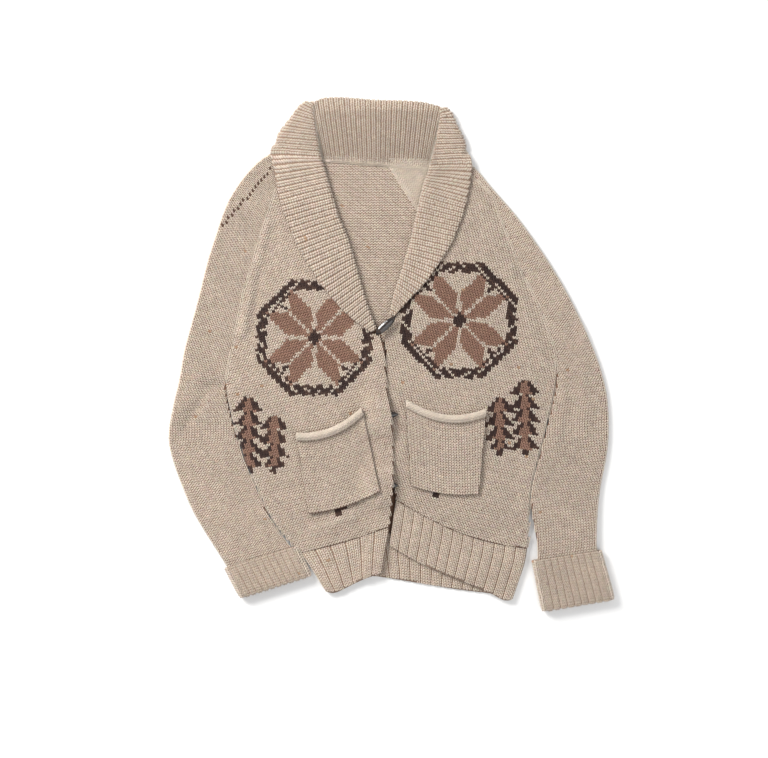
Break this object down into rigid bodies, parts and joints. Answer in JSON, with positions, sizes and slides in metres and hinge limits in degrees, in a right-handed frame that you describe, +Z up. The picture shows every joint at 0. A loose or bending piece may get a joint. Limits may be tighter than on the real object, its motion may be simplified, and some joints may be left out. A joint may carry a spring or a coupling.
{
  "type": "knitted toggle cardigan",
  "caption": "Chunky knitted cardigan laid flat, with raglan sleeves, a ribbed shawl collar, patch pockets, turned-back cuffs and horn toggles.",
  "frame": {"origin": "the middle of the garment's box on the surface that it lies on", "axes": "+X towards the wearer's left side, +Y from the hem up to the collar, +Z up from the surface"},
  "size_m": [0.6695, 0.7729, 0.0266],
  "materials": {
    "wool": "matte oatmeal wool in stocking stitch",
    "rib": "matte oatmeal wool in rib",
    "horn": "polished dark horn"
  },
  "bodies": {
    "root": {"back_panel": "wool", "front_right": "wool", "front_left": "wool", "sleeve_right": "wool", "sleeve_left": "wool", "pocket_right": "wool", "pocket_left": "wool", "welt_back": "rib", "welt_right": "rib", "welt_left": "rib", "cuff_right": "rib", "cuff_left": "rib", "collar": "rib", "toggle_top": "horn", "toggle_middle": "horn", "toggle_lower": "horn"}
  },
  "joints": []
}
